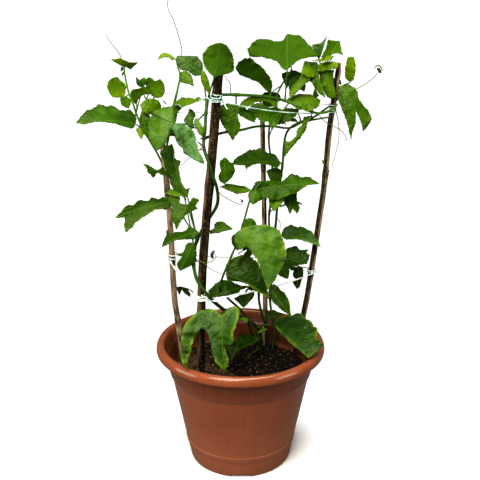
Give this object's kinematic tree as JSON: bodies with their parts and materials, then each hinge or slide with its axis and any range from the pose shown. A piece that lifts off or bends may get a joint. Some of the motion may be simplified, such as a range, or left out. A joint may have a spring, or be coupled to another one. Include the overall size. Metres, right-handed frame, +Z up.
{
  "type": "potted passion flower vine",
  "caption": "Young passion flower vine with lobed leaves and tendrils, climbing wood stakes tied with rings of twine, in a round plastic pot of soil; not in bloom.",
  "frame": {"origin": "middle of the pot's base, on the surface it stands on", "axes": "+Z up from the pot's base along the stakes; -Y towards the front of the picture; +X to its right"},
  "size_m": [0.4973, 0.3074, 0.8134],
  "materials": {
    "pot_plastic": "glossy moulded terracotta-coloured plastic",
    "potting_soil": "loose dark potting soil with tan chips",
    "dark_bark": "rough dark bark",
    "tan_bark": "tan and brown bark with joint rings",
    "twine": "pale green-white plastic twine",
    "leaf_green": "glossy mid-green leaves and dark green stems",
    "shoot_green": "light green young shoot"
  },
  "bodies": {
    "root": {"pot": "pot_plastic", "soil": "potting_soil", "stake_front": "dark_bark", "stake_left": "tan_bark", "stake_right": "tan_bark", "stake_back": "tan_bark", "twine_upper": "twine", "twine_lower": "twine", "vine_main": "leaf_green", "vine_left": "shoot_green", "vine_middle": "leaf_green", "vine_right": "leaf_green", "vine_rear": "leaf_green", "vine_low": "leaf_green"}
  },
  "joints": []
}
